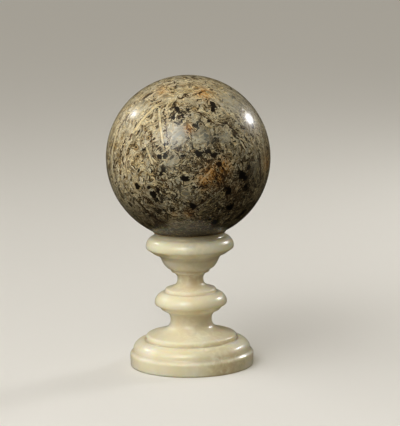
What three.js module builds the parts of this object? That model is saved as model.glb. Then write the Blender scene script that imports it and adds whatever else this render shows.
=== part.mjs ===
// A polished ball of fossil-hash stone, resting in the dished top of a turned pedestal.
// Millimetres, +Z up. The origin is the centre of the pedestal's underside.

import * as THREE from 'three';

// The ball, and how it sits.
const BALL_RADIUS = 60;
const BALL_CENTRE_HEIGHT = 154.2;
const SEAT_GAP = 0.3;

// Facets round the axis of both pieces, and from pole to pole of the ball.
const SIDES = 48;
const BALL_BANDS = 26;

// Pedestal, from the ground up. Every radius is from the axis, every height from the underside.
// A bend is a [radius, height] that a curved stretch is drawn towards.
const BAND = { footRadius: 45.3, footBevel: 0.25, radius: 45.5, height: 9.3, bevel: 0.6 };
const SHOULDER = { radius: 43.5, height: 11.4 };
const QUARTER_ROUND = { radius: 43.2, height: 11.9, width: 9.4, rise: 7.7, topRadius: 35 };
const GROOVE = { radius: 34.5, height: 18.9 };
const DOME = { radius: 33.3, height: 23, edge: 0.8, bend: [23.5, 25.6] };
const LOWER_NECK = { radius: 15.2, height: 33.8, lowBend: [15.2, 26.2], highBend: [15.2, 38.4] };
const KNOP_COVE = { radius: 18, height: 39.7 };
const KNOP_STEP = { radius: 22.3, height: 42.5, tread: 0.9, bend: [22.9, 44] };
const KNOP = { radius: 26.6, height: 47.1, width: 9.6, rise: 8, topRadius: 19.5, underAngle: -0.2 };
const KNOP_FILLET = { radius: 18.9, footHeight: 54.8, height: 56.8, edge: 0.4, bend: [13.2, 58.4] };
const UPPER_NECK = { radius: 9.5, height: 64.2, lowBend: [9.5, 59.6], highBend: [9.5, 68.6] };
const COLLAR = { radius: 14.2, height: 69.7, thickness: 1.2 };
const BOWL = { footRadius: 14.8, footHeight: 71.8, bend: [18.9, 72.9], radius: 21.5, height: 79.9 };
const CUP_COVE = { radius: 26.8, height: 83.7, bend: [22.4, 82.2] };
const CUP_STEP = { radius: 28.2, height: 84.8 };
const CUP = { radius: 32.4, height: 88.6, width: 7.4, rise: 7.9, topRadius: 26.2, underAngle: -0.12 };
const NOTCH = { radius: 25.5, height: 98.1, bend: [25.7, 99.3] };
const LIP = { radius: 27.5, height: 100.2, edge: 0.3 };
const DISH_RADIUS = 50;

const point = (radius, height) => new THREE.Vector2(radius, height);

// Steps round each kind of curve.
const COVE_STEPS = 3;
const NECK_STEPS = 4;
const SWEEP_STEPS = 6;
const BULGE_STEPS = 7;

// A hollow or rounded stretch that leaves start towards bend and reaches end from it.
function cove(start, bend, end, steps = COVE_STEPS) {
  return new THREE.QuadraticBezierCurve(start, point(...bend), end).getPoints(steps);
}

// A longer sweep with a bend near each end.
function sweep(start, startBend, endBend, end, steps = SWEEP_STEPS) {
  const curve = new THREE.CubicBezierCurve(start, point(...startBend), point(...endBend), end);
  return curve.getPoints(steps);
}

// Part of an upright ellipse whose widest point is at the moulding's radius and height.
// It starts at underAngle and runs up to where it has closed in to topRadius.
function bulge({ radius, height, width, rise, topRadius, underAngle = 0 }, steps = BULGE_STEPS) {
  const centreRadius = radius - width;
  const topAngle = Math.acos((topRadius - centreRadius) / width);
  const curve = new THREE.EllipseCurve(centreRadius, height, width, rise, underAngle, topAngle);
  return curve.getPoints(steps);
}

// Upright band, bevelled shoulder, the quarter-round above it and the groove inside that.
function baseProfile() {
  return [
    point(0, 0),
    point(BAND.footRadius - BAND.footBevel, 0),
    point(BAND.footRadius, BAND.footBevel),
    point(BAND.radius, BAND.height),
    point(BAND.radius - BAND.bevel, BAND.height + BAND.bevel),
    point(SHOULDER.radius, SHOULDER.height),
    ...bulge(QUARTER_ROUND, SWEEP_STEPS),
    point(GROOVE.radius, GROOVE.height),
  ];
}

// Low dome with an upright edge, drawn up into the lower neck.
function footProfile() {
  const rim = point(DOME.radius - DOME.edge, DOME.height);
  const neck = point(LOWER_NECK.radius, LOWER_NECK.height);
  return [
    point(DOME.radius, GROOVE.height),
    point(DOME.radius, DOME.height - DOME.edge),
    ...sweep(rim, DOME.bend, LOWER_NECK.lowBend, neck),
  ];
}

// Bulging ring half way up: hollow and step underneath, a small upright fillet on top.
function knopProfile() {
  const neck = point(LOWER_NECK.radius, LOWER_NECK.height);
  const under = point(KNOP_COVE.radius, KNOP_COVE.height);
  const step = point(KNOP_STEP.radius, KNOP_STEP.height);
  const ring = bulge(KNOP);
  return [
    ...cove(neck, LOWER_NECK.highBend, under, NECK_STEPS).slice(1),
    point(KNOP_STEP.radius - KNOP_STEP.tread, KNOP_STEP.height - KNOP_STEP.tread),
    ...cove(step, KNOP_STEP.bend, ring[0]).slice(0, -1),
    ...ring,
    point(KNOP_FILLET.radius, KNOP_FILLET.footHeight),
    point(KNOP_FILLET.radius, KNOP_FILLET.height - KNOP_FILLET.edge),
  ];
}

// Slender neck between the knop and the bowl, with a thin collar on top.
function upperNeckProfile() {
  const shelf = point(KNOP_FILLET.radius - KNOP_FILLET.edge, KNOP_FILLET.height + KNOP_FILLET.edge);
  const waist = point(UPPER_NECK.radius, UPPER_NECK.height);
  const collar = point(COLLAR.radius, COLLAR.height);
  return [
    ...sweep(shelf, KNOP_FILLET.bend, UPPER_NECK.lowBend, waist),
    ...cove(waist, UPPER_NECK.highBend, collar, NECK_STEPS).slice(1),
    point(COLLAR.radius, COLLAR.height + COLLAR.thickness),
  ];
}

// Bowl, hollow and step that widen to the cup's bulging rim.
function cupProfile() {
  const foot = point(BOWL.footRadius, BOWL.footHeight);
  const shoulder = point(BOWL.radius, BOWL.height);
  const coveTop = point(CUP_COVE.radius, CUP_COVE.height);
  return [
    ...cove(foot, BOWL.bend, shoulder, NECK_STEPS),
    ...cove(shoulder, CUP_COVE.bend, coveTop).slice(1),
    point(CUP_STEP.radius, CUP_STEP.height),
    ...bulge(CUP),
  ];
}

// Undercut neck of the thin lip, then the dish inside it down to the axis.
// The dish is tighter than the ball, so the ball bears on a ring just inside the lip.
function lipAndDishProfile() {
  const lipInner = Math.sqrt((BALL_RADIUS + SEAT_GAP) ** 2 - (BALL_CENTRE_HEIGHT - LIP.height) ** 2);
  const dishCentreHeight = LIP.height + Math.sqrt(DISH_RADIUS ** 2 - lipInner ** 2);
  const rimAngle = Math.asin((LIP.height - dishCentreHeight) / DISH_RADIUS);
  const dish = new THREE.EllipseCurve(
    0, dishCentreHeight, DISH_RADIUS, DISH_RADIUS, rimAngle, -Math.PI / 2, true,
  );
  const notch = point(NOTCH.radius, NOTCH.height);
  const lip = point(LIP.radius, LIP.height - LIP.edge);
  return [
    ...cove(notch, NOTCH.bend, lip),
    point(LIP.radius - LIP.edge, LIP.height),
    ...dish.getPoints(NECK_STEPS).slice(0, -1),
    point(0, dishCentreHeight - DISH_RADIUS),
  ];
}

function stone(color, roughness) {
  return new THREE.MeshStandardMaterial({ color, roughness, metalness: 0 });
}

function buildStand() {
  const profile = [
    ...baseProfile(),
    ...footProfile(),
    ...knopProfile(),
    ...upperNeckProfile(),
    ...cupProfile(),
    ...lipAndDishProfile(),
  ];
  const geometry = new THREE.LatheGeometry(profile, SIDES).rotateX(Math.PI / 2);
  const stand = new THREE.Mesh(geometry, stone('#dccfa6', 0.22));
  stand.name = 'turned_stand';
  return stand;
}

function buildBall() {
  const geometry = new THREE.SphereGeometry(BALL_RADIUS, SIDES, BALL_BANDS).rotateX(Math.PI / 2);
  const ball = new THREE.Mesh(geometry, stone('#7f755c', 0.12));
  ball.name = 'stone_sphere';
  ball.position.z = BALL_CENTRE_HEIGHT;
  return ball;
}

const part = new THREE.Group();
part.add(buildStand(), buildBall());

export default part;
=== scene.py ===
# %% [markdown]
# # A fossil-stone ball on a turned alabaster pedestal
# Two pieces of real stone: a ball ground from petrified plant debris and polished like glass, and a
# pedestal turned on a lathe from one block of cream alabaster. The ball only rests in the pedestal's dish.
# The construction model is loaded first and gives every size and place. It is never moved.

# %% Load the construction model
import math

import bpy
import numpy as np
from mathutils import Matrix, Vector


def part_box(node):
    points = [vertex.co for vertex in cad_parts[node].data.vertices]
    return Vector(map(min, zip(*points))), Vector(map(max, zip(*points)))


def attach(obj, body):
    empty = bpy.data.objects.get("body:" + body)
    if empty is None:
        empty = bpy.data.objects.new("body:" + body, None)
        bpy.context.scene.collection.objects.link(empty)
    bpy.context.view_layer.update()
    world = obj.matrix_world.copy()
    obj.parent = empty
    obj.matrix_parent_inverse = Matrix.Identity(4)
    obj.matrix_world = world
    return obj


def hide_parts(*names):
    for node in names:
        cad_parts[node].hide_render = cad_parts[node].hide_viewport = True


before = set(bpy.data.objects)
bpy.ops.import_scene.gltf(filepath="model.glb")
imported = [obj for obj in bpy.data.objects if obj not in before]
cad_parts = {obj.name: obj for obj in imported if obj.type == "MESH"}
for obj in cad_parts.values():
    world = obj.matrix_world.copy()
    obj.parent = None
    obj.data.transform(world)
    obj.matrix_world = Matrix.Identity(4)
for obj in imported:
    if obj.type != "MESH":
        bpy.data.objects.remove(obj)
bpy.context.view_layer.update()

MM = 0.001
ball_low, ball_high = (np.array(corner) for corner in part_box("stone_sphere"))
stand_low, stand_high = (np.array(corner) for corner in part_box("turned_stand"))
ball_centre = (ball_low + ball_high) / 2
ball_radius = float(ball_high[2] - ball_low[2]) / 2
print("ball radius", round(ball_radius / MM, 2), "mm, centre height", round(ball_centre[2] / MM, 2), "mm")

# %% [markdown]
# ## Camera
# A studio shot of a small ornament is taken from a couple of metres with a long lens, so that the ball
# keeps a round outline. A camera's place is easiest to say as seen from the ball: how high above level it
# stands, how far off, and where in the frame the ball's centre falls.

# %% Camera
FRAME_HEIGHT = 426
SENSOR = 36.0                         # mm along the frame's longer side
CAMERA_ELEVATION = math.radians(8.4)
CAMERA_DISTANCE = 1.7013              # metres from the ball's centre
CAMERA_ROLL = math.radians(1.05)
FOCAL_LENGTHS_HIGH = 2333 / FRAME_HEIGHT
BALL_IN_FRAME = (-0.0277, 0.1308)     # from the middle, right and up, in frame heights

right = Vector((1, 0, 0))
upward = Vector((0, math.sin(CAMERA_ELEVATION), math.cos(CAMERA_ELEVATION)))
to_camera = Vector((0, -math.cos(CAMERA_ELEVATION), math.sin(CAMERA_ELEVATION)))
rolled_right = right * math.cos(CAMERA_ROLL) - upward * math.sin(CAMERA_ROLL)
rolled_up = right * math.sin(CAMERA_ROLL) + upward * math.cos(CAMERA_ROLL)
looking_at_ball = Matrix((rolled_right, rolled_up, to_camera)).transposed()
ball_ray = Vector((*BALL_IN_FRAME, -FOCAL_LENGTHS_HIGH)).normalized()
aim = Vector((0, 0, -1)).rotation_difference(ball_ray).inverted()

camera = bpy.data.objects.new("camera", bpy.data.cameras.new("camera"))
bpy.context.collection.objects.link(camera)
camera.data.sensor_width = SENSOR
camera.data.lens = SENSOR * FOCAL_LENGTHS_HIGH
camera.data.clip_start, camera.data.clip_end = 0.05, 50
camera.location = Vector(ball_centre) + to_camera * CAMERA_DISTANCE
camera.rotation_euler = (looking_at_ball @ aim.to_matrix()).to_euler()
bpy.context.scene.camera = camera
bpy.context.scene.view_settings.view_transform = "Standard"
print("lens", round(camera.data.lens, 1), "mm")

# %% [markdown]
# ## Helpers
# Paint makers and cameras name colours in sRGB, and a shader works in linear light, so one function turns
# one into the other. A second one adds a shader node: its properties, what its sockets hold or are linked
# to, and which of its outputs the next node takes. A third puts a grid of numpy points into a mesh.

# %% Colour, node and mesh helpers
def linear(code):
    """sRGB hex to linear RGBA: c / 12.92 for dark values, ((c + 0.055) / 1.055) to the power 2.4 above."""
    channels = np.array([int(code[i:i + 2], 16) for i in (1, 3, 5)]) / 255
    bright = ((channels + 0.055) / 1.055) ** 2.4
    return (*np.where(channels <= 0.04045, channels / 12.92, bright), 1.0)


MIX = {"data_type": "RGBA"}            # a colour mix, and where it takes and gives its values
FACTOR, UNDER, OVER, MIXED = 0, 6, 7, 2
SMOOTH, MULTIPLY = {"interpolation_type": "SMOOTHSTEP"}, {"operation": "MULTIPLY"}


def add(tree, kind, settings, inputs, output=0):
    """Adds a node, fills or links its sockets, and returns one output. stops fill a colour ramp."""
    node = tree.nodes.new("ShaderNode" + kind)
    for name, value in settings.items():
        if name == "stops":
            ramp = node.color_ramp
            while len(ramp.elements) < len(value):
                ramp.elements.new(1.0)
            for element, (place, colour) in zip(ramp.elements, value):
                element.position, element.color = place, linear(colour)
        else:
            setattr(node, name, value)
    for key, value in inputs.items():
        if isinstance(value, bpy.types.NodeSocket):
            tree.links.new(value, node.inputs[key])
        else:
            node.inputs[key].default_value = value
    return node.outputs[output]


def make_piece(name, points, faces, values, node):
    """A smooth mesh object of points in metres, with named numbers per vertex, riding in place of a node."""
    mesh = bpy.data.meshes.new(name)
    mesh.from_pydata(points, [], faces)
    mesh.shade_smooth()
    for label, numbers in values.items():
        attribute = mesh.attributes.new(label, "FLOAT", "POINT")
        attribute.data.foreach_set("value", numbers.astype(np.float32))
    mesh.validate()
    piece = bpy.data.objects.new(name, mesh)
    bpy.context.collection.objects.link(piece)
    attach(piece, "root")
    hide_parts(node)
    print(name, len(points), "points,", sum(len(face) - 2 for face in faces), "triangles")
    return piece

# %% [markdown]
# ## Floor and light
# A polished ball shows its lights as bright shapes, so they matter as much as its colour. Two soft boxes
# stand high behind, one to each side, and give the small sharp glints with a soft halo, since each box is
# brightest in its middle. A big one in front, high to the left, adds a faint glow, and wide window light
# from the left brings out the pattern. Each box is given by its direction from the ball's centre, its size
# in metres, and how bright its face is: an area lamp's power is that brightness times pi times its area.
#
# A pale room mirrored in a dark ball would lay a veil over its pattern, so a studio hangs black cloth
# round it. Here the room lights the pieces but is hidden from their reflections. The floor is hidden from
# both, so it only carries their shadows.

# %% Floor, lights and surroundings
FLOOR_SIZE = 40.0
LIGHT_DISTANCE = 1.25
LIGHTS = {  # size in metres: in the plane of light and camera, and across it
    "box_behind_right": {"toward": (0.76, 0.52, 0.39), "size": (0.9, 0.42), "glow": 34.0, "falloff": 7},
    "box_behind_left": {"toward": (-0.72, 0.45, 0.53), "size": (0.7, 0.32), "glow": 17.0, "falloff": 6},
    "box_front_left": {"toward": (-0.33, -0.72, 0.62), "size": (1.2, 1.2), "glow": 6.5, "falloff": 2},
}

floor_mesh = bpy.data.meshes.new("floor")
half = FLOOR_SIZE / 2
corners = [(-half, -half, 0), (half, -half, 0), (half, half, 0), (-half, half, 0)]
floor_mesh.from_pydata(corners, [], [(0, 1, 2, 3)])
floor = bpy.data.objects.new("floor", floor_mesh)
bpy.context.collection.objects.link(floor)
floor.visible_glossy = floor.visible_diffuse = False

paper = bpy.data.materials.new("studio_paper")
paper.use_nodes = True
paper_shader = paper.node_tree.nodes["Principled BSDF"]
paper_shader.inputs["Base Color"].default_value = linear("#f1eee8")
paper_shader.inputs["Roughness"].default_value = 0.7
floor_mesh.materials.append(paper)


def fade_to_edge(lamp, falloff):
    """Brightness (1 - (2 r)^2)^falloff of a soft box, with r from 0 in its middle to 0.5 at its edge."""
    lamp.use_nodes = True
    tree = lamp.node_tree
    face = add(tree, "NewGeometry", {}, {}, "Parametric")
    level = add(tree, "VectorMath", MULTIPLY, {0: face, 1: (1, 1, 0)})
    radius = add(tree, "VectorMath", {"operation": "DISTANCE"}, {0: level, 1: (0.5, 0.5, 0)}, "Value")
    square = add(tree, "Math", MULTIPLY, {0: radius, 1: radius})
    left = add(tree, "Math", {"operation": "MULTIPLY_ADD", "use_clamp": True}, {0: square, 1: -4.0, 2: 1.0})
    strength = add(tree, "Math", {"operation": "POWER"}, {0: left, 1: falloff})
    tree.links.new(strength, tree.nodes["Emission"].inputs["Strength"])


for name, box in LIGHTS.items():
    lamp = bpy.data.lights.new(name, "AREA")
    lamp.shape = "RECTANGLE"
    lamp.size, lamp.size_y = box["size"]
    lamp.energy = box["glow"] * math.pi * lamp.size * lamp.size_y
    fade_to_edge(lamp, box["falloff"])
    lamp_object = bpy.data.objects.new(name, lamp)
    bpy.context.collection.objects.link(lamp_object)
    toward = Vector(box["toward"]).normalized()
    lamp_object.location = Vector(ball_centre) + toward * LIGHT_DISTANCE
    across = toward.cross(to_camera).normalized()
    lamp_object.rotation_euler = Matrix((across.cross(toward), across, toward)).transposed().to_euler()
    print(name, round(lamp.energy, 2), "W")

WINDOW_TOWARD = (-0.72, -0.30, 0.58)
WINDOW_LIGHT, ROOM_LIGHT = 1.35, 0.30
window = bpy.data.lights.new("window", "SUN")
window.energy, window.angle = WINDOW_LIGHT, math.radians(60)
window_object = bpy.data.objects.new("window", window)
window_object.rotation_euler = Vector(WINDOW_TOWARD).to_track_quat("Z", "Y").to_euler()
window_object.visible_glossy = False
bpy.context.collection.objects.link(window_object)

world = bpy.data.worlds.new("room")
world.use_nodes = True
world.node_tree.nodes["Background"].inputs["Color"].default_value = linear("#dcd3bd")
world.node_tree.nodes["Background"].inputs["Strength"].default_value = ROOM_LIGHT
world.cycles_visibility.glossy = False
bpy.context.scene.world = world

# %% [markdown]
# ## The ball's surface
# A stone ball is ground between two cups until it is round to a hair, so its form is a true sphere. What
# breaks the surface are pinholes, where a loose grain of the fossil hash came out under the grinding
# wheel. A globe's grid crowds its points at the poles. A cube blown up to a sphere spreads them evenly:
# six square grids, pushed out to the same radius, with their shared edges merged.

# %% Ball points
BALL_GRID = 127                       # squares along each of the cube's edges


def cube_sphere(squares):
    """Six grids of tan(angle) on a cube's faces, each point divided by its length, edges merged."""
    line = np.tan(np.linspace(-math.pi / 4, math.pi / 4, squares + 1))
    across, along = np.meshgrid(line, line, indexing="ij")
    one = np.ones_like(across)
    sides = []
    for axis in range(3):
        for sign in (1, -1):
            side = np.stack([sign * one, sign * across, along], axis=-1)
            sides.append(np.roll(side, axis, axis=-1).reshape(-1, 3))
    points = np.concatenate(sides)
    points /= np.linalg.norm(points, axis=1, keepdims=True)
    start = np.arange(squares)[:, None] * (squares + 1) + np.arange(squares)[None, :]
    square = np.stack([start, start + squares + 1, start + squares + 2, start + 1], axis=-1).reshape(-1, 4)
    faces = np.concatenate([square + side * (squares + 1) ** 2 for side in range(6)])
    _, first, place = np.unique(np.round(points, 6), axis=0, return_index=True, return_inverse=True)
    return points[first], place.reshape(-1)[faces]


ball_ways, ball_faces = cube_sphere(BALL_GRID)
print("ball", len(ball_ways), "points")

# %% [markdown]
# ## Where the ball's largest fossils lie
# Most of the pattern can be left to chance, but some pieces stand out: long pale straws, stems cut across
# that show a brown wall round a dark core, leaves, black chips, brown seams, and a patch stained by rust.
# Each is placed by its direction from the ball's centre, as azimuth to the right of the front and latitude
# above the middle, in degrees. For each kind the mesh keeps one number per point. For straws, seams and
# chips it is the distance in millimetres to the nearest edge, below zero inside. For stems and leaves it
# is the distance from the middle as a share of the outline's. Both blend evenly between points, so the
# shader can cut a crisp outline from them. A stain is a number from 0 to 1 that fades outwards.

# %% Placed fossils
STRAWS = [  # start, end, half width in mm
    ((-27, 43), (-18, 18), 1.0), ((-30, 14), (-25, 4), 0.9), ((-32, 46), (-43, 26), 1.0),
    ((8, -9), (16, 0), 0.8), ((6, -29), (25, -14), 0.35), ((24, -39), (27, -27), 0.35),
    ((19, -31), (7, -38), 0.4), ((-30, 47), (-45, 24), 1.1), ((30, -9), (35, 3), 0.5),
    ((52, 12), (40, 19), 0.6),
    ((-50, -2), (-44, -16), 0.6), ((66, 12), (70, -16), 1.0), ((-66, 24), (-66, -10), 0.9),
    ((-11, 57), (19, 61), 0.8), ((-14, -9), (-4, -3), 0.5), ((-5, -13), (4, -10), 0.5),
]
CRACKS = [  # brown seams: start, end, half width in mm
    ((-28, 51), (-43, 30), 0.5), ((-43, 30), (-47, 19), 0.6), ((-21, -6), (-15, -10), 0.35),
    ((-20, -9), (-14, -13), 0.35), ((-22, -4), (-16, -8), 0.35), ((-28, 24), (-24, 8), 0.35),
    ((-21, 40), (-15, 22), 0.3), ((58, 8), (62, -18), 0.7), ((24, -8), (30, -24), 0.4),
    ((2, -30), (22, -13), 0.4), ((-9, 52), (14, 57), 0.4), ((-52, 18), (-55, -6), 0.4),
    ((-60, 36), (-70, 6), 0.5), ((10, 40), (22, 30), 0.4), ((33, 30), (45, 12), 0.4),
    ((-34, -20), (-24, -30), 0.4), ((-44, -22), (-26, -44), 0.5), ((-10, -44), (18, -48), 0.5),
    ((-20, -52), (14, -56), 0.6),
]
CHIPS = [  # place, size in mm
    ((26, 46), 3.0), ((24, 41), 1.7), ((-9, 43), 1.9), ((-12, 36), 1.4), ((-4, 38), 1.1), ((-26, -18), 2.6),
    ((28, -16), 3.0), ((39, -6), 2.8), ((42, -9), 2.0), ((7, 11), 2.4), ((14, 12), 2.3), ((17, 9), 1.8),
    ((-17, 0), 2.3), ((-19, -3), 1.5), ((-2, -6), 2.5), ((3, -27), 2.8), ((21, 3), 2.0), ((-22, -15), 1.5),
    ((60, 50), 1.7), ((-44, 28), 1.4), ((-20, 9), 1.8), ((-16, 9), 1.9), ((6, 11), 1.6), ((-31, 13), 1.2),
    ((-39, -13), 2.0), ((-29, -13), 1.6), ((44, -15), 2.2), ((46, -2), 1.8), ((13, 23), 1.4),
    ((17, 33), 1.3), ((34, -30), 2.6), ((26, -44), 2.8), ((-33, 13), 1.0), ((1, 43), 1.2), ((-8, -50), 2.4),
]
STEMS = [  # place, outer radius in mm
    ((-39, 14), 2.1), ((-37, 8), 2.1), ((-41, 3), 1.6), ((-57, 7), 1.7), ((-55, 2), 1.7),
    ((-56, 19), 1.6), ((-61, 12), 1.4), ((-62, -5), 1.6), ((-30, 21), 1.9), ((-72, 14), 1.5),
    ((-48, -8), 1.4), ((-68, 0), 1.4), ((-34, 27), 1.5), ((20, -1), 1.6), ((18, -9), 1.7), ((14, -11), 1.3),
]
LEAVES = [  # place, half length and half width in mm, tilt of the length from level
    ((15, -32), 7.5, 2.6, 18), ((20, -22), 9.5, 3.0, 38), ((33, 57), 5.0, 2.0, -20), ((2, 60), 4.5, 2.4, 10),
    ((-20, -10), 4.2, 1.5, -30), ((-48, -14), 5.0, 1.6, 70), ((26, -38), 6.0, 1.8, 25),
    ((-2, -17), 4.4, 2.2, 0), ((41, 24), 4.0, 1.5, -40), ((-22, 62), 5.5, 1.8, -30),
    ((55, -8), 5.0, 1.6, 75), ((-8, -38), 5.0, 1.4, 5),
]
# rust stains, and broad zones: pale, dense, clear, and a dark one that is partly painted shade
STAINS_ZONES_AND_SHADE = {  # kind: (place, radius in degrees, strength)
    "rust": [((18, -5), 8, 1.0), ((24, 0), 6, 1.0), ((12, -8), 6, 0.8), ((1, 28), 3, 0.9), ((22, 57), 6, 0.7),
             ((-36, 61), 5, 0.35), ((71, -2), 7, 0.6), ((0, -34), 4, 0.7),
             ((-13, -35), 4, 0.4), ((34, -16), 6, 0.3)],
    "pale": [((-60, 35), 34, 1.0), ((-30, 62), 30, 0.9), ((46, 62), 26, 0.8), ((70, 30), 24, 0.6),
             ((-45, 2), 20, 0.8), ((-26, 26), 14, 0.8)],
    "dense": [((10, 10), 16, 0.9), ((-20, 2), 9, 0.7), ((-8, 40), 8, 0.8), ((26, -10), 20, 0.8),
              ((-16, -20), 20, 0.8), ((24, 38), 8, 0.6), ((44, -10), 14, 0.9), ((10, -50), 30, 0.7)],
    # darker stone, and painted shade over the lower half, most towards the lower right and the bottom
    "dim": [((40, -26), 24, 1.0), ((20, -36), 22, 0.9), ((16, -60), 34, 0.9), ((60, -40), 30, 0.9),
            ((-34, -44), 22, 0.8), ((45, -6), 10, 0.6)],
    "clear": [((11, 22), 6, 0.8), ((-7, 24), 6, 0.9), ((-51, 40), 6, 0.9), ((51, 47), 9, 0.9),
              ((-2, -17), 4, 0.8), ((27, 22), 5, 0.5), ((-58, 28), 7, 0.5), ((-12, 5), 5, 0.5),
              ((54, -4), 6, 0.5)],
}
FAR = 6.0                             # mm, beyond which a distance no longer matters
SEAT_TOP, SEAT_FADE = -0.70, 0.12     # of the radius: below it painted shade darkens the ball round its seat, and wax and dust dull its coat
FACING = 0.2                          # cosine: only ways well on a place's own side are laid flat round it


def way(place):
    """Unit vector of a place: azimuth turns from the front (-Y) to the right (+X), latitude lifts it."""
    azimuth, latitude = np.radians(place)
    level = math.cos(latitude)
    return np.array([level * math.sin(azimuth), -level * math.cos(azimuth), math.sin(latitude)])


def straw_distance(ways, start, end, half_width):
    """Distance on the ball to a band along the great circle from start to end, with round ends, in mm."""
    middle = way(start) + way(end)
    middle /= np.linalg.norm(middle)
    normal = np.cross(way(start), way(end))
    normal /= np.linalg.norm(normal)
    half_length = math.acos(np.dot(way(start), middle)) * ball_radius / MM
    along = np.arctan2(ways @ np.cross(normal, middle), ways @ middle) * ball_radius / MM
    beside = np.arcsin(ways @ normal) * ball_radius / MM
    return np.hypot(np.maximum(np.abs(along) - half_length, 0), beside) - half_width


def angle_to(ways, place):
    """Angle between each way and a place, in radians."""
    return np.arccos(np.clip(ways @ way(place), -1, 1))


def flat_view(ways, place):
    """How far right and up of a place each way lies, in mm on the plane that touches the ball there, and
    whether it is on the place's side of the ball."""
    out = way(place)
    east = np.cross((0, 0, 1), out)
    east /= np.linalg.norm(east)
    flat = ways / np.maximum(ways @ out, FACING)[:, None] * ball_radius / MM
    return flat @ east, flat @ np.cross(out, east), ways @ out > FACING


def chip_distance(ways, place, size, chance):
    """Distance to an angular chip in mm: the largest of five straight sides' distances, at uneven turns."""
    across, up, facing = flat_view(ways, place)
    turns = (np.arange(5) + chance.uniform(-0.3, 0.3, 5)) * math.tau / 5 + chance.uniform(0, math.tau)
    reach = size * chance.uniform(0.6, 1.15, 5)
    sides = np.outer(across, np.cos(turns)) + np.outer(up, np.sin(turns)) - reach
    return np.where(facing, sides.max(axis=1), FAR)


def leaf_ratio(ways, place, half_length, half_width, tilt):
    """Distance from a leaf's middle as a share of its outline's: the square root of
    (along / half length)^2 + (beside / half width)^2, with along and beside turned by the tilt."""
    across, up, facing = flat_view(ways, place)
    turned = math.radians(tilt)
    along = (across * math.cos(turned) + up * math.sin(turned)) / half_length
    beside = (up * math.cos(turned) - across * math.sin(turned)) / half_width
    return np.where(facing, np.hypot(along, beside), FAR)


def nearest(distances):
    """The smallest of several distances at each point, cut off at FAR."""
    return np.minimum(np.min(distances, axis=0), FAR)


chance = np.random.default_rng(12)
ball_values = {
    "straw": nearest([straw_distance(ball_ways, *straw) for straw in STRAWS]),
    "crack": nearest([straw_distance(ball_ways, *crack) for crack in CRACKS]),
    "chip": nearest([chip_distance(ball_ways, place, size, chance) for place, size in CHIPS]),
    "stem": nearest([angle_to(ball_ways, place) * ball_radius / MM / size for place, size in STEMS]),
    "leaf": nearest([leaf_ratio(ball_ways, *leaf) for leaf in LEAVES]),
    "seat": np.clip((SEAT_TOP - ball_ways[:, 2]) / SEAT_FADE, 0, 1),
}
for kind, spots in STAINS_ZONES_AND_SHADE.items():
    ball_values[kind] = np.max(
        [strength * np.exp(-(angle_to(ball_ways, place) / math.radians(radius)) ** 2)
         for place, radius, strength in spots], axis=0)
print("placed", len(STRAWS), "straws,", len(CRACKS), "seams,", len(CHIPS), "chips,", len(STEMS), "stems,",
      len(LEAVES), "leaves")

# %% [markdown]
# ## Pinholes
# Real dents rather than a painted effect, so that they break the glints: each is a round hollow, deepest
# in the middle and smooth at the rim, pressed a few tenths of a millimetre into the ball.

# %% Ball mesh
PINHOLES = 150
PINHOLE_RADIUS = (0.7, 1.5)           # mm
PINHOLE_DEPTH = 0.22                  # of the radius


def pinhole_depth(ways):
    """Depth in mm: for each hole, radius times depth times (1 - (distance / radius) squared) squared."""
    places = chance.normal(size=(PINHOLES, 3))
    places /= np.linalg.norm(places, axis=1, keepdims=True)
    depth = np.zeros(len(ways))
    for place, radius in zip(places, chance.uniform(*PINHOLE_RADIUS, PINHOLES)):
        across = np.linalg.norm(ways - place, axis=1) * ball_radius / MM / radius
        depth = np.maximum(depth, radius * PINHOLE_DEPTH * np.clip(1 - across ** 2, 0, None) ** 2)
    return depth


hole = pinhole_depth(ball_ways)
ball_values["pinhole"] = hole
ball_points = ball_centre + ball_ways * (ball_radius - hole * MM)[:, None]
ball = make_piece("polished_ball", ball_points, ball_faces.tolist(), ball_values,
                  "stone_sphere")
print("deepest pinhole", round(float(hole.max()), 2), "mm")

# %% [markdown]
# ## The pedestal's surface
# A turner cuts a profile into a spinning block, so the form is one outline carried round an axis. The
# outline repeats the construction model's mouldings: upright steps, hollows (curves drawn towards a bend)
# and bulges (parts of an ellipse). Between those, polishing rounds every arris, which is done here by
# spacing points evenly along the outline and averaging each with its neighbours.

# %% Pedestal outline
def hollow(start, bend, end, steps=24):
    """Points of start (1-t)^2 + 2 bend t (1-t) + end t^2."""
    t = np.linspace(0, 1, steps)[:, None]
    return np.array(start) * (1 - t) ** 2 + 2 * np.array(bend) * t * (1 - t) + np.array(end) * t ** 2


def sweep(start, start_bend, end_bend, end, steps=40):
    """The same with a bend near each end: a cubic Bezier curve."""
    t = np.linspace(0, 1, steps)[:, None]
    ends = np.array(start) * (1 - t) ** 3 + np.array(end) * t ** 3
    return ends + 3 * t * (1 - t) * (np.array(start_bend) * (1 - t) + np.array(end_bend) * t)


def bulge(radius, height, width, rise, top_radius, under_angle=0.0, steps=40):
    """Ellipse (radius - width + width cos a, height + rise sin a), up to where it closes to top_radius."""
    inner = radius - width
    angle = np.linspace(under_angle, math.acos((top_radius - inner) / width), steps)
    return np.column_stack([inner + width * np.cos(angle), height + rise * np.sin(angle)])


def dish(rim_radius, rim_height, radius, steps=30):
    """Arc of a circle centred on the axis, from the rim down to the axis."""
    centre = rim_height + math.sqrt(radius ** 2 - rim_radius ** 2)
    angle = np.linspace(math.asin(rim_radius / radius), 0, steps)
    return np.column_stack([radius * np.sin(angle), centre - radius * np.cos(angle)])


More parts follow.
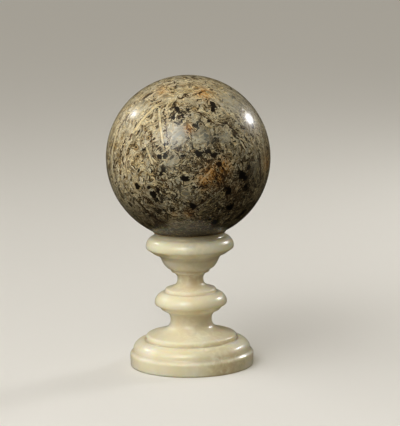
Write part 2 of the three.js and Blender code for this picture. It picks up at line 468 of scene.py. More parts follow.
LIP_HEIGHT = (stand_high[2] - stand_low[2]) / MM
BASE_RADIUS = (stand_high[0] - stand_low[0]) / 2 / MM
SEAT_GAP = 0.1                        # mm between lip and ball
lip_inner = math.sqrt((ball_radius / MM + SEAT_GAP) ** 2 - (ball_centre[2] / MM - LIP_HEIGHT) ** 2)
neck_low, neck_high = (15.2, 33.8), (9.5, 64.2)
knop = bulge(26.6, 47.1, 9.6, 8, 19.5, -0.2)
outline = np.concatenate([
    [(0.0, 0.0), (20, 0), (40, 0), (BASE_RADIUS - 0.45, 0), (BASE_RADIUS - 0.2, 0.25)],
    [(BASE_RADIUS, 9.3), (BASE_RADIUS - 0.6, 9.9), (43.5, 11.4)],
    bulge(43.2, 11.9, 9.4, 7.7, 35), [(34.5, 18.9), (33.3, 18.9), (33.3, 22.2)],
    sweep((32.5, 23), (23.5, 25.6), (15.2, 26.2), neck_low),
    hollow(neck_low, (15.2, 38.4), (18, 39.7)), [(21.4, 41.6)],
    hollow((22.3, 42.5), (22.9, 44), knop[0]), knop, [(18.9, 54.8), (18.9, 56.4)],
    sweep((18.5, 57.2), (13.2, 58.4), (9.5, 59.6), neck_high),
    hollow(neck_high, (9.5, 68.6), (14.2, 69.7)), [(14.2, 70.9)],
    hollow((14.8, 71.8), (18.9, 72.9), (21.5, 79.9)), hollow((21.5, 79.9), (22.4, 82.2), (26.8, 83.7)),
    [(28.2, 84.8)], bulge(32.4, 88.6, 7.4, 7.9, 26.2, -0.12),
    hollow((25.5, 98.1), (25.7, 99.3), (27.5, LIP_HEIGHT - 0.3)), [(27.2, LIP_HEIGHT)],
    dish(lip_inner, LIP_HEIGHT, 50),
])
print("outline", len(outline), "points,", LIP_HEIGHT, "mm tall")

# %% [markdown]
# ## Turning and wear
# Three things tell a turned stone foot from a moulded one: rings that the tool left, a hair deep; arrises
# that are soft from polishing; and small shell-shaped chips where an edge was knocked. A chip is a bite by
# a ball: points that fall inside it are pushed out to its surface.

# %% Pedestal mesh
OUTLINE_POINTS = 306
ROUND_STEPS = 320
ARRIS_ROUNDING = 0.55                 # mm
RING_DEPTH = 0.012                    # mm
CHIPPED = [  # azimuth to the right of the front in degrees, radius and height in mm, size in mm
    (-18, 32.7, 87.0, 1.3), (-14, 32.8, 86.8, 0.9), (33, 32.9, 87.1, 0.7), (128, 32.8, 87.2, 1.2),
    (-31, 45.9, -0.1, 1.1), (-17, 45.9, -0.2, 1.3), (-8, 45.8, -0.2, 0.9), (3, 45.9, -0.1, 1.0),
    (16, 45.9, -0.2, 1.1), (41, 45.9, -0.1, 0.9), (100, 45.9, -0.1, 1.6), (171, 45.9, -0.2, 1.4),
    (-140, 45.9, -0.1, 1.2), (76, 26.9, 45.2, 0.9), (-75, 46.0, 9.6, 0.8), (214, 46.0, 9.7, 1.0),
]


def even_outline(points, count):
    """Points at even steps along the outline: its length is summed, and each radius and height looked up."""
    length = np.concatenate([[0], np.cumsum(np.hypot(*np.diff(points, axis=0).T))])
    at = np.linspace(0, length[-1], count)
    return np.column_stack([np.interp(at, length, points[:, 0]), np.interp(at, length, points[:, 1])]), at


def rounded(points, step, spread):
    """Each point averaged with its neighbours, weighted by exp(-distance^2 / (2 spread^2))."""
    reach = int(4 * spread / step)
    weights = np.exp(-0.5 * (np.arange(-reach, reach + 1) * step / spread) ** 2)
    padded = np.pad(points, ((reach, reach), (0, 0)), mode="edge")
    return np.column_stack([np.convolve(padded[:, k], weights / weights.sum(), "valid") for k in (0, 1)])


def bitten(points, centre, size):
    """Points nearer than size to centre are moved straight away from it until they are size away."""
    away = points - centre
    distance = np.linalg.norm(away, axis=1, keepdims=True)
    return np.where(distance < size, centre + away * size / np.maximum(distance, 1e-6), points)


fine, fine_at = even_outline(outline, 2600)
fine = rounded(fine, fine_at[1], ARRIS_ROUNDING)
fine[:, 1] = np.clip(fine[:, 1], 0, LIP_HEIGHT)
waves = chance.uniform(0, math.tau, 3)
rings = sum(np.sin(fine_at * math.tau / pitch + wave) for pitch, wave in zip((1.7, 2.9, 5.3), waves))
fine[:, 0] -= np.where((fine[:, 1] > 1) & (fine[:, 0] < BASE_RADIUS - 0.3), RING_DEPTH * (1 + rings), 0)
section, _ = even_outline(fine, OUTLINE_POINTS)
section[[0, -1], 0] = 0

turn = np.arange(ROUND_STEPS) * math.tau / ROUND_STEPS
radius, height = section[1:-1, 0][:, None], section[1:-1, 1][:, None]
grid = np.stack([radius * np.sin(turn), -radius * np.cos(turn), height + 0 * turn], axis=-1)
stand_points = np.concatenate([grid.reshape(-1, 3), [(0, 0, section[0, 1]), (0, 0, section[-1, 1])]])
for azimuth, chip_radius, chip_height, size in CHIPPED:
    level = math.radians(azimuth)
    centre = (chip_radius * math.sin(level), -chip_radius * math.cos(level), chip_height)
    stand_points = bitten(stand_points, np.array(centre), size)
stand_points[:, 2] = np.clip(stand_points[:, 2], 0, LIP_HEIGHT)

rows = OUTLINE_POINTS - 2
row, column = np.meshgrid(np.arange(rows - 1), np.arange(ROUND_STEPS), indexing="ij")
after = (column + 1) % ROUND_STEPS
quads = np.stack([row * ROUND_STEPS + column, row * ROUND_STEPS + after,
                  (row + 1) * ROUND_STEPS + after, (row + 1) * ROUND_STEPS + column], axis=-1).reshape(-1, 4)
spoke, beyond = np.arange(ROUND_STEPS), (np.arange(ROUND_STEPS) + 1) % ROUND_STEPS
under = np.column_stack([spoke * 0 + rows * ROUND_STEPS, beyond, spoke])
last = (rows - 1) * ROUND_STEPS
inside = np.column_stack([spoke * 0 + rows * ROUND_STEPS + 1, last + spoke, last + beyond])
stand_faces = quads.tolist() + under.tolist() + inside.tolist()

# %% [markdown]
# ## Painted shade and colour zones on the pedestal
# Shade is painted where light hardly reaches: in the notch under the lip, at the foot of each step, and round
# the top of the lip where the ball sits.
# Wax and dust settle where a cloth can't reach: in the notch under the lip and at the foot of each step.
# How shut in a point is comes from the outline itself: where it turns inwards, its smoothed copy stands
# outside it. The block also has an amber cloud and a few cooler ones, placed like the ball's stains.

# %% Pedestal zones
ZONES = {  # kind: (azimuth, height in mm, radius in mm, strength)
    "amber": [(34, 4, 15, 1.0), (24, 9, 9, 0.5), (-8, 33, 12, 0.4), (12, 66, 10, 0.7), (150, 20, 20, 0.7)],
    "cool": [(54, 6, 10, 1.0), (5, 90, 12, 0.8), (20, 16, 16, 0.6), (-130, 60, 24, 0.8)],
    "rosy": [(-75, 12, 16, 0.8), (60, 24, 12, 0.6), (-10, 60, 8, 0.6), (170, 90, 20, 0.6)],
}
# painted shade round the top of the lip, next to where the ball sits
LIP_SHADE_HEIGHT, LIP_SHADE_REACH, LIP_SHADE_RADIUS = 100.0, 1.4, 24   # mm
height_of = stand_points[:, 2]
radius_of = np.hypot(stand_points[:, 0], stand_points[:, 1])
azimuth_of = np.arctan2(stand_points[:, 0], -stand_points[:, 1])


def zone(azimuth, height, radius, strength):
    """strength times exp(-(distance round and up / radius) squared)."""
    turned = (azimuth_of - math.radians(azimuth) + math.pi) % math.tau - math.pi
    return strength * np.exp(-((turned * radius_of) ** 2 + (height_of - height) ** 2) / radius ** 2)


broad = rounded(fine, fine_at[1], 1.1)
tangent = np.gradient(fine, axis=0)
outward = np.column_stack([tangent[:, 1], -tangent[:, 0]]) / np.hypot(*tangent.T)[:, None]
shut_in = np.clip(((broad - fine) * outward).sum(axis=1) / 0.25, 0, 1)
shut_in = np.interp(np.linspace(0, 1, OUTLINE_POINTS), np.linspace(0, 1, len(fine)), shut_in)
# painted shade: in the outline's inward turns, and round the top of the lip
stand_values = {
    "crevice": np.concatenate([np.repeat(shut_in[1:-1], ROUND_STEPS), [0, 0]]),
    "under_lip": (np.exp(-((height_of - LIP_SHADE_HEIGHT) / LIP_SHADE_REACH) ** 2)
                  * (radius_of > LIP_SHADE_RADIUS)),
}
for kind, spots in ZONES.items():
    stand_values[kind] = np.max([zone(*spot) for spot in spots], axis=0)
stand = make_piece("turned_pedestal", stand_points * MM, stand_faces, stand_values,
                   "turned_stand")
print("lowest", round(float(height_of.min()), 3), "mm, highest", round(float(height_of.max()), 3), "mm")

# %% [markdown]
# ## Fossil-hash chalcedony, ground and polished
# The real stone is a swamp's litter turned to quartz: bits of stem, bark and leaf lie in every direction
# in grey, see-through chalcedony. Quartz takes a glassy polish, so the eye gets a sharp glint over a
# pattern that seems to lie a little below it. One layer of cells looks like tiles. Real litter is many
# kinds and sizes on top of each other, so each kind has its own function, and each lies over the last:
# fibres, hollows with a pale wall, broken bits packed side by side, shreds, round stems, dark pockets.
# All read places in millimetres inside the stone, so the pattern runs through it like a real one.

# %% Stone: the layers
POCKET_DEPTH, POCKET_RIM = 0.12, 0.08  # of the field's range, and of that depth
EDGE_BROWN = "#2a1b0b"
WALLS = [(0.0, "#2a1c0c"), (0.35, "#6b5836"), (0.55, "#bdb08a"), (1.0, "#dcd1ad")]
STEM_COLOURS = [(0.0, "#1c1209"), (0.40, "#2a1b0f"), (0.52, "#a5946c"), (0.78, "#8a7650"), (0.95, "#4c3a22")]


def random_cells(tree, place, cell, stretch, turn, offset):
    """Cells of space, cell mm across and stretch times as long, with their long side turned."""
    angles = tuple(math.radians(angle) for angle in turn)
    sizes = (cell, cell, cell * stretch)
    spot = add(tree, "Mapping", {"vector_type": "TEXTURE"},
               {"Vector": place, "Location": (offset, 0, 0), "Rotation": angles, "Scale": sizes})
    colour = add(tree, "TexVoronoi", {}, {"Vector": spot, "Scale": 1.0}, "Color")
    return spot, colour


def hash_layer(tree, place, under, share, cell, stretch, turn, stops, wall, offset):
    """Broken bits packed side by side: a share of the cells, each in its own tone, with a thin pale wall."""
    spot, colour = random_cells(tree, place, cell, stretch, turn, offset)
    edge = add(tree, "TexVoronoi", {"feature": "DISTANCE_TO_EDGE"},
               {"Vector": spot, "Scale": 1.0}, "Distance")
    picks = add(tree, "SeparateColor", {}, {"Color": colour}, "Red").node
    chosen = add(tree, "Math", {"operation": "LESS_THAN"}, {0: picks.outputs["Red"], 1: share})
    tone = add(tree, "Math", {"operation": "SUBTRACT"}, {0: picks.outputs["Green"], 1: edge})
    tint = add(tree, "ValToRGB", {"stops": stops}, {"Fac": tone})
    in_wall = add(tree, "MapRange", SMOOTH,
                  {"Value": edge, "From Min": wall * 1.6, "From Max": wall})
    wall_tint = add(tree, "ValToRGB", {"stops": WALLS}, {"Fac": picks.outputs["Blue"]})
    tint = add(tree, "Mix", MIX, {FACTOR: in_wall, UNDER: tint, OVER: wall_tint}, MIXED)
    return add(tree, "Mix", MIX, {FACTOR: chosen, UNDER: under, OVER: tint}, MIXED)


def pocket_layer(tree, place, under, level, size, stops, detail, offset):
    """Pockets of a cloudy field: where it falls below level, coloured by how far below, from rim to core."""
    spot = add(tree, "Mapping", {"vector_type": "TEXTURE"},
               {"Vector": place, "Location": (offset, 0, 0), "Scale": (size,) * 3})
    field = add(tree, "TexNoise", {},
                {"Vector": spot, "Scale": 1.0, "Detail": detail, "Roughness": 0.6}, "Fac")
    below = add(tree, "Math", {"operation": "SUBTRACT"}, {0: level, 1: field})
    inside = add(tree, "MapRange", {}, {"Value": below, "From Max": POCKET_DEPTH})
    tint = add(tree, "ValToRGB", {"stops": stops}, {"Fac": inside})
    mask = add(tree, "MapRange", SMOOTH, {"Value": below, "From Max": POCKET_DEPTH * POCKET_RIM})
    return add(tree, "Mix", MIX, {FACTOR: mask, UNDER: under, OVER: tint}, MIXED), mask


def fibre_layer(tree, place, under, amount, size, lines, turn, stops):
    """Fibres as contours of a smooth guide field: noise along lines times the guide, broken lengthwise."""
    angles = tuple(math.radians(angle) for angle in turn)
    spot = add(tree, "Mapping", {"vector_type": "TEXTURE"},
               {"Vector": place, "Rotation": angles, "Scale": size})
    guide = add(tree, "TexNoise", {}, {"Vector": spot, "Scale": 1.0, "Detail": 1.5}, "Fac")
    line = add(tree, "Math", MULTIPLY, {0: guide, 1: lines})
    slow = add(tree, "VectorMath", {"operation": "SCALE"}, {0: spot, "Scale": 1.2})
    beside = add(tree, "CombineXYZ", {}, {"X": line})
    at = add(tree, "VectorMath", {"operation": "ADD"}, {0: beside, 1: slow})
    strand = add(tree, "TexNoise", {}, {"Vector": at, "Scale": 1.0, "Detail": 3.0, "Roughness": 0.65}, "Fac")
    tint = add(tree, "ValToRGB", {"stops": stops}, {"Fac": strand})
    return add(tree, "Mix", MIX, {FACTOR: amount, UNDER: under, OVER: tint}, MIXED)


def strip_layer(tree, place, under, share, cell, widths, stops, offset):
    """Shreds of leaf and bark, one to a cell, each lying its own way in the bed: grained along its length,
    with brown edges. Lengthwise is the cell's random direction in the bed; across is what is left."""
    spot, colour = random_cells(tree, place, cell, 1.0, (0, 0, 0), offset)
    picks = add(tree, "SeparateColor", {}, {"Color": colour}, "Red").node
    reach = add(tree, "VectorMath", {"operation": "SUBTRACT"}, {0: spot, 1: colour.node.outputs["Position"]})
    around = add(tree, "VectorMath", {"operation": "SUBTRACT"}, {0: colour, 1: (0.5, 0.5, 0.5)})
    in_bed = add(tree, "VectorMath", MULTIPLY, {0: around, 1: (1, 0, 1)})
    axis = add(tree, "VectorMath", {"operation": "NORMALIZE"}, {0: in_bed})
    along = add(tree, "VectorMath", {"operation": "DOT_PRODUCT"}, {0: reach, 1: axis}, "Value")
    turned = add(tree, "VectorMath", {"operation": "CROSS_PRODUCT"}, {0: reach, 1: axis})
    across = add(tree, "SeparateXYZ", {}, {"Vector": turned}, "Y")
    width = add(tree, "MapRange", {},
                {"Value": picks.outputs["Green"], "To Min": widths[0], "To Max": widths[1]})
    ratio = add(tree, "Math", {"operation": "DIVIDE"}, {0: across, 1: width})
    ratio = add(tree, "Math", {"operation": "ABSOLUTE"}, {0: ratio})
    long_way = add(tree, "Math", MULTIPLY, {0: along, 1: 1.5})
    grain_at = add(tree, "CombineXYZ", {}, {"X": across, "Y": long_way, "Z": picks.outputs["Red"]})
    grain_at = add(tree, "VectorMath", MULTIPLY, {0: grain_at, 1: (14, 1, 40)})
    grain = add(tree, "TexNoise", {}, {"Vector": grain_at, "Scale": 1.0, "Detail": 2.0}, "Fac")
    tone = add(tree, "Math", {"operation": "MULTIPLY_ADD"}, {0: picks.outputs["Blue"], 1: 0.8, 2: -0.35})
    tone = add(tree, "Math", {"operation": "ADD"}, {0: tone, 1: grain})
    tint = add(tree, "ValToRGB", {"stops": stops}, {"Fac": tone})
    rim = add(tree, "MapRange", SMOOTH,
              {"Value": ratio, "From Min": 0.62, "From Max": 0.95, "To Max": 0.85})
    tint = add(tree, "Mix", MIX, {FACTOR: rim, UNDER: tint, OVER: linear(EDGE_BROWN)}, MIXED)
    chosen = add(tree, "Math", {"operation": "LESS_THAN"}, {0: picks.outputs["Red"], 1: share})
    inside_strip = add(tree, "Math", {"operation": "LESS_THAN"}, {0: ratio, 1: 1.0})
    mask = add(tree, "Math", MULTIPLY, {0: chosen, 1: inside_strip})
    return add(tree, "Mix", MIX, {FACTOR: mask, UNDER: under, OVER: tint}, MIXED), mask


def stem_layer(tree, place, under, share, cell):
    """Round stems lying any way, one to a cell: a dark core, a pale wall and a brown skin."""
    spot, colour = random_cells(tree, place, cell, 1.0, (20, 40, 60), 0)
    picks = add(tree, "SeparateColor", {}, {"Color": colour}, "Red").node
    reach = add(tree, "VectorMath", {"operation": "SUBTRACT"}, {0: spot, 1: colour.node.outputs["Position"]})
    centred = add(tree, "VectorMath", {"operation": "SUBTRACT"}, {0: colour, 1: (0.5, 0.5, 0.5)})
    axis = add(tree, "VectorMath", {"operation": "NORMALIZE"}, {0: centred})
    along = add(tree, "VectorMath", {"operation": "DOT_PRODUCT"}, {0: reach, 1: axis}, "Value")
    on_axis = add(tree, "VectorMath", {"operation": "SCALE"}, {0: axis, "Scale": along})
    beside = add(tree, "VectorMath", {"operation": "DISTANCE"}, {0: reach, 1: on_axis}, "Value")
    radius = add(tree, "MapRange", {}, {"Value": picks.outputs["Green"], "To Min": 0.12, "To Max": 0.3})
    ratio = add(tree, "Math", {"operation": "DIVIDE"}, {0: beside, 1: radius})
    chosen = add(tree, "Math", {"operation": "LESS_THAN"}, {0: picks.outputs["Red"], 1: share})
    inside_stem = add(tree, "Math", {"operation": "LESS_THAN"}, {0: ratio, 1: 1.0})
    mask = add(tree, "Math", MULTIPLY, {0: chosen, 1: inside_stem})
    tint = add(tree, "ValToRGB", {"stops": STEM_COLOURS}, {"Fac": ratio})
    return add(tree, "Mix", MIX, {FACTOR: mask, UNDER: under, OVER: tint}, MIXED)


print("five kinds of layer: broken bits, pockets, fibres, shreds and stems")

# %% [markdown]
# ## The stone's colours
# Chalcedony is grey-green to cream; stems that kept their wall are straw-coloured; carbon makes the chips
# nearly black; iron stains ochre to rust. The sizes are those of real litter: pockets of 2 and 4 mm,
# broken bits of 3 and 5 mm, shreds 1 to 2 mm wide and 4 to 8 mm long, stems 2 to 4 mm across. The litter
# settled in beds that face the front, so the pattern is stretched there and drawn into streaks at the
# sides. The placed seams, chips and straws go over it, then clear haze and rust, then the placed stems and
# leaves, a slight warm and cool cast in spots of about 3 mm, and last the broad pale and dark zones. The
# dark zones are partly darker stone and partly painted shade, over the lower half and round the seat. The
# stone's own fibres are hundredths of a millimetre fine, too fine to show, so they are drawn about ten
# times coarser.

# %% Stone: colours and layers
BED_FLATNESS = 3.0                    # litter settled flat, in beds that face the front
GROUND = [(0.30, "#544c3d"), (0.43, "#878069"), (0.55, "#b0a88f"), (0.70, "#d6cdb5")]
DEEP_GROUND = [(0.32, "#1a140b"), (0.45, "#3d3020"), (0.56, "#5e4e35"), (0.70, "#8d8060")]
FIBRES = [(0.32, "#20170c"), (0.41, "#5c4a2e"), (0.48, "#a39573"),
          (0.58, "#d9cda8"), (0.66, "#8a7d5c"), (0.74, "#4d3c22")]
POCKETS = [(0.0, "#d9cfae"), (0.10, "#bba97e"), (0.16, "#5e421f"),
           (0.34, "#2a1c0d"), (0.6, "#110d08"), (1.0, "#2f281b")]
HOLLOWS = [(0.0, "#e4dab8"), (0.14, "#d2c59b"), (0.2, "#4a3820"),
           (0.34, "#8d8263"), (0.6, "#aba389"), (1.0, "#5b5038")]
BITS = [(0.0, "#14100a"), (0.25, "#2c2517"), (0.4, "#594b33"),
        (0.55, "#7f7a66"), (0.7, "#a49a7c"), (0.85, "#c9bd98")]
SHREDS = [(0.1, "#1c140a"), (0.3, "#4b3b24"), (0.45, "#80734f"),
          (0.6, "#cabb8f"), (0.8, "#e2d6b0"), (1.0, "#8f9079")]
BLACKS = [(0.0, "#0d0905"), (0.6, "#1a140d"), (1.0, "#33271a")]
STRAW_COLOURS = [(0.3, "#a8996f"), (0.5, "#cdbf97"), (0.7, "#e2d7b6")]
RUSTS = [(0.0, "#1b0f04"), (0.05, "#52330f"), (0.14, "#956124"), (0.3, "#bd8b44"), (0.6, "#d8b47c")]
BROWNS = [(0.3, "#24170a"), (0.55, "#4a331a"), (0.75, "#75592f")]
TINTS = [(0.34, "#fff2e2"), (0.47, "#fafbfb"), (0.54, "#f5f9ff"), (0.66, "#dfeaff")]
LEAF_COLOURS = [(0.0, "#3d2f15"), (0.64, "#2e2210"), (0.74, "#b9a978"), (0.86, "#d0c294"), (0.92, "#3a2a14")]

PLACED = (("crack", BROWNS, 2.2), ("chip", BLACKS, 1.3), ("straw", STRAW_COLOURS, 0.9))   # raggedness, mm
OUTLINED = (("stem", STEM_COLOURS, 1.0), ("leaf", LEAF_COLOURS, 0.45))   # how much of the inside is covered
HAZE, HAZE_SHARE = "#a8a693", 0.55    # clear chalcedony with little litter in it
TINT_SHARE, RUST_GAIN = 0.8, 1.5
# the second and third veils darken the colour: painted shade over the lower half and round the seat, the
# second one partly darker stone too
VEILS = (("pale", "#fff0da", "SOFT_LIGHT"), ("dim", "#77695a", "MULTIPLY"), ("seat", "#c2b59f", "MULTIPLY"))
SIZES = {"hollow": 4.4, "bit": 5.4, "small_bit": 3.2, "shred": 4.2, "long_shred": 8.0,
         "stem": 7.0, "pocket": 4.2, "small_pocket": 2.0}      # each layer's cells, mm
WAVES = {"wobble": 0.12, "cloud": 0.12, "region": 0.06, "ragged": 0.7, "tint": 0.35}   # noise waves a mm
WOBBLE_REACH = 10.0                   # mm by which the beds are pushed about


def by_zone(tree, value, base, changes):
    """base plus each named zone's value times its change."""
    for kind, change in changes.items():
        base = add(tree, "Math", {"operation": "MULTIPLY_ADD"}, {0: value[kind], 1: change, 2: base})
    return base


def build_stone():
    """Fossil chalcedony: litter layers, placed fossils, stains, and a clear polish over all."""
    material = bpy.data.materials.new("polished_fossil_chalcedony")
    material.use_nodes = True
    tree = material.node_tree
    shader = tree.nodes["Principled BSDF"]
    where = add(tree, "TexCoord", {}, {}, "Object")
    place = add(tree, "VectorMath", {"operation": "SCALE"}, {0: where, "Scale": 1 / MM})
    value = {name: add(tree, "Attribute", {"attribute_name": name}, {}, "Fac") for name in ball_values}

    wobble = add(tree, "TexNoise", {},
                 {"Vector": place, "Scale": WAVES["wobble"], "Detail": 2.5, "Roughness": 0.45}, "Color")
    push = add(tree, "VectorMath", {"operation": "MULTIPLY_ADD"},
               {0: wobble, 1: (WOBBLE_REACH,) * 3, 2: place})
    push = add(tree, "VectorMath", MULTIPLY, {0: push, 1: (1, BED_FLATNESS, 1)})

    cloud = add(tree, "TexNoise", {},
                {"Vector": push, "Scale": WAVES["cloud"], "Detail": 6.0, "Roughness": 0.65}, "Fac")
    region = add(tree, "TexNoise", {}, {"Vector": place, "Scale": WAVES["region"], "Detail": 1.0}, "Fac")
    colour = add(tree, "ValToRGB", {"stops": GROUND}, {"Fac": cloud})
    deep = add(tree, "ValToRGB", {"stops": DEEP_GROUND}, {"Fac": cloud})
    # the dark zones get a dark ground: partly darker stone, partly painted shade
    colour = add(tree, "Mix", MIX, {FACTOR: value["dim"], UNDER: colour, OVER: deep}, MIXED)
    fibrous = add(tree, "MapRange", SMOOTH,
                  {"Value": region, "From Min": 0.42, "From Max": 0.58, "To Min": 0.3, "To Max": 0.9})
    fibrous = by_zone(tree, value, fibrous, {"pale": -0.25, "clear": -0.8})
    colour = fibre_layer(tree, push, colour, fibrous, (16, 24, 26), 24, (0, 30, 0), FIBRES)

    level = by_zone(tree, value, 0.37, {"dense": 0.09, "clear": -0.12, "pale": -0.05})
    wide = add(tree, "Math", {"operation": "ADD"}, {0: level, 1: 0.03})
    colour, _ = pocket_layer(tree, push, colour, wide, SIZES["hollow"], HOLLOWS, 3.0, 90)
    packed = by_zone(tree, value, 0.15, {"dense": 0.6, "clear": -0.6, "pale": -0.2})
    colour = hash_layer(tree, push, colour, packed, SIZES["bit"], 2.0, (0, 50, 0), BITS, 0.045, 30)
    colour = hash_layer(tree, push, colour, packed, SIZES["small_bit"], 1.8, (0, -35, 0), BITS, 0.06, 10)
    sparse = by_zone(tree, value, 0.5, {"clear": -0.4})
    colour, shreds = strip_layer(tree, push, colour, sparse, SIZES["shred"], (0.10, 0.24), SHREDS, 80)
    colour, _ = strip_layer(tree, push, colour, sparse, SIZES["long_shred"], (0.07, 0.15), SHREDS, 120)
    colour = stem_layer(tree, push, colour, 0.3, SIZES["stem"])
    colour, _ = pocket_layer(tree, push, colour, level, SIZES["pocket"], POCKETS, 1.5, 0)
    colour, blacks = pocket_layer(tree, push, colour, level, SIZES["small_pocket"], POCKETS, 1.5, 50)

    ragged = add(tree, "TexNoise", {}, {"Vector": place, "Scale": WAVES["ragged"], "Detail": 3.0}, "Fac")
    for name, stops, raggedness in PLACED:
        reach = add(tree, "MapRange", {}, {"Value": ragged, "To Min": -raggedness, "To Max": raggedness})
        edge = add(tree, "Math", {"operation": "ADD"}, {0: value[name], 1: reach})
        mask = add(tree, "MapRange", SMOOTH, {"Value": edge, "From Min": 0.3, "From Max": 0.1})
        tint = add(tree, "ValToRGB", {"stops": stops}, {"Fac": cloud})
        rim = add(tree, "MapRange", SMOOTH,
                  {"Value": edge, "From Min": -0.25, "From Max": 0.1, "To Max": 0.85})
        tint = add(tree, "Mix", MIX, {FACTOR: rim, UNDER: tint, OVER: linear(EDGE_BROWN)}, MIXED)
        colour = add(tree, "Mix", MIX, {FACTOR: mask, UNDER: colour, OVER: tint}, MIXED)

    speckle = add(tree, "MapRange", {}, {"Value": ragged, "From Min": 0.3, "From Max": 0.5})
    haze = add(tree, "Math", MULTIPLY, {0: value["clear"], 1: HAZE_SHARE})
    colour = add(tree, "Mix", MIX, {FACTOR: haze, UNDER: colour, OVER: linear(HAZE)}, MIXED)
    brightness = add(tree, "RGBToBW", {}, {"Color": colour})
    rusted = add(tree, "ValToRGB", {"stops": RUSTS}, {"Fac": brightness})
    stained = add(tree, "Math", MULTIPLY, {0: value["rust"], 1: RUST_GAIN})
    amount = add(tree, "Math", {"operation": "MULTIPLY", "use_clamp": True}, {0: stained, 1: speckle})
    colour = add(tree, "Mix", MIX, {FACTOR: amount, UNDER: colour, OVER: rusted}, MIXED)
    for name, stops, inside_share in OUTLINED:
        reach = add(tree, "MapRange", {}, {"Value": ragged, "To Min": -0.4, "To Max": 0.4})
        ratio = add(tree, "Math", {"operation": "ADD"}, {0: value[name], 1: reach})
        tint = add(tree, "ValToRGB", {"stops": stops}, {"Fac": ratio})
        cover = add(tree, "MapRange", SMOOTH,
                    {"Value": ratio, "From Min": 0.6, "From Max": 0.74, "To Min": inside_share})
        inside = add(tree, "Math", {"operation": "LESS_THAN"}, {0: ratio, 1: 1.0})
        mask = add(tree, "Math", MULTIPLY, {0: cover, 1: inside})
        colour = add(tree, "Mix", MIX, {FACTOR: mask, UNDER: colour, OVER: tint}, MIXED)

    tint_at = add(tree, "TexNoise", {}, {"Vector": push, "Scale": WAVES["tint"], "Detail": 2.0}, "Fac")
    tint = add(tree, "ValToRGB", {"stops": TINTS}, {"Fac": tint_at})
    colour = add(tree, "Mix", MIX | {"blend_type": "MULTIPLY"},
                 {FACTOR: TINT_SHARE, UNDER: colour, OVER: tint}, MIXED)
    for name, tint, mode in VEILS:
        amount = add(tree, "Math", MULTIPLY, {0: value[name], 1: speckle})
        colour = add(tree, "Mix", MIX | {"blend_type": mode},
                     {FACTOR: amount, UNDER: colour, OVER: linear(tint)}, MIXED)

    tree.links.new(colour, shader.inputs["Base Color"])
    duller = add(tree, "MapRange", {}, {"Value": blacks, "To Min": 0.38, "To Max": 0.46})
    tree.links.new(duller, shader.inputs["Roughness"])
    shader.inputs["IOR"].default_value = 1.54
    shader.inputs["Specular IOR Level"].default_value = 0.3
    polish = add(tree, "MapRange", {}, {"Value": value["seat"], "To Min": 0.5, "To Max": 0.02})
    tree.links.new(polish, shader.inputs["Coat Weight"])
    shader.inputs["Coat Roughness"].default_value = 0.07
    shader.inputs["Coat IOR"].default_value = 1.5
    relief = add(tree, "Math", {"operation": "SUBTRACT"}, {0: shreds, 1: blacks})
    bump = add(tree, "Bump", {}, {"Height": relief, "Strength": 0.25, "Distance": 0.05 * MM}, "Normal")
    tree.links.new(bump, shader.inputs["Normal"])
    return material


ball.data.materials.append(build_stone())
print("stone nodes", len(ball.data.materials[0].node_tree.nodes))

# %% [markdown]
# ## Cream alabaster, turned and waxed
# Alabaster is soft, fine-grained gypsum. Light goes a few millimetres in and comes out warm, so it glows
# cream where it is lit and turns to honey in shade, and its wax polish gives small sharp glints over a
# broad soft sheen. Faint clouds, a trace of the turner's rings, and painted shade in the notches and round
# the top of the lip where the ball sits, finish it.

# %% Alabaster
CREAMS = [(0.3, "#eee4bf"), (0.5, "#f2eacc"), (0.7, "#f6f0da")]
CLOUDS = (("amber", "#c9a560", 0.55), ("cool", "#c3c4a6", 0.5), ("rosy", "#e6cdb2", 0.5))
# painted shade, in the hollows and round the top of the lip
PAINTED_SHADES = (("crevice", "#a98f58", 0.35), ("under_lip", "#6b4a1c", 0.85))
SUBSURFACE_DEPTH = 7                  # mm


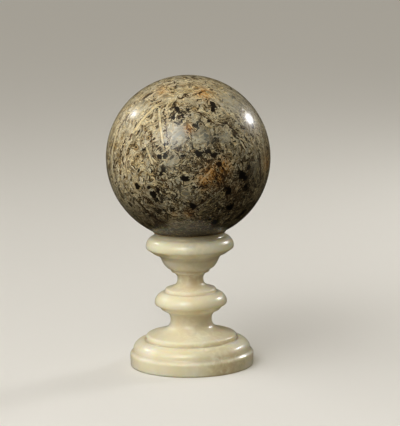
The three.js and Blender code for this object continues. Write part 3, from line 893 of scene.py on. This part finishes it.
def build_alabaster():
    """Waxed alabaster: clouded cream with subsurface light, painted shade in hollows and on the lip, fine
    turning rings.
    """
    material = bpy.data.materials.new("waxed_turned_alabaster")
    material.use_nodes = True
    tree = material.node_tree
    shader = tree.nodes["Principled BSDF"]
    where = add(tree, "TexCoord", {}, {}, "Object")
    place = add(tree, "VectorMath", {"operation": "SCALE"}, {0: where, "Scale": 1 / MM})
    value = {name: add(tree, "Attribute", {"attribute_name": name}, {}, "Fac") for name in stand_values}

    cloud = add(tree, "TexNoise", {},
                {"Vector": place, "Scale": 0.05, "Detail": 5.0, "Distortion": 0.6}, "Fac")
    colour = add(tree, "ValToRGB", {"stops": CREAMS}, {"Fac": cloud})
    vein = add(tree, "TexNoise", {},
               {"Vector": place, "Scale": 0.16, "Detail": 6.0, "Distortion": 1.2}, "Fac")
    speckle = add(tree, "MapRange", {}, {"Value": vein, "From Min": 0.35, "From Max": 0.6})
    for name, tint, strength in CLOUDS:
        amount = add(tree, "Math", MULTIPLY, {0: value[name], 1: speckle})
        amount = add(tree, "Math", MULTIPLY, {0: amount, 1: strength})
        colour = add(tree, "Mix", MIX, {FACTOR: amount, UNDER: colour, OVER: linear(tint)}, MIXED)
    for name, tint, strength in PAINTED_SHADES:
        amount = add(tree, "Math", MULTIPLY, {0: value[name], 1: strength})
        colour = add(tree, "Mix", MIX, {FACTOR: amount, UNDER: colour, OVER: linear(tint)}, MIXED)
    tree.links.new(colour, shader.inputs["Base Color"])

    shader.inputs["Roughness"].default_value = 0.34
    shader.inputs["IOR"].default_value = 1.53
    shader.inputs["Subsurface Weight"].default_value = 0.8
    shader.inputs["Subsurface Radius"].default_value = (1.0, 0.75, 0.4)
    shader.inputs["Subsurface Scale"].default_value = SUBSURFACE_DEPTH * MM
    shader.inputs["Coat Weight"].default_value = 0.45
    shader.inputs["Coat Roughness"].default_value = 0.16
    upright = add(tree, "VectorMath", MULTIPLY, {0: place, 1: (0.02, 0.02, 1.0)})
    rings = add(tree, "TexNoise", {}, {"Vector": upright, "Scale": 2.2, "Detail": 3.0}, "Fac")
    bump = add(tree, "Bump", {}, {"Height": rings, "Strength": 0.3, "Distance": 0.04 * MM}, "Normal")
    tree.links.new(bump, shader.inputs["Normal"])
    return material


stand.data.materials.append(build_alabaster())
print("alabaster nodes", len(stand.data.materials[0].node_tree.nodes))
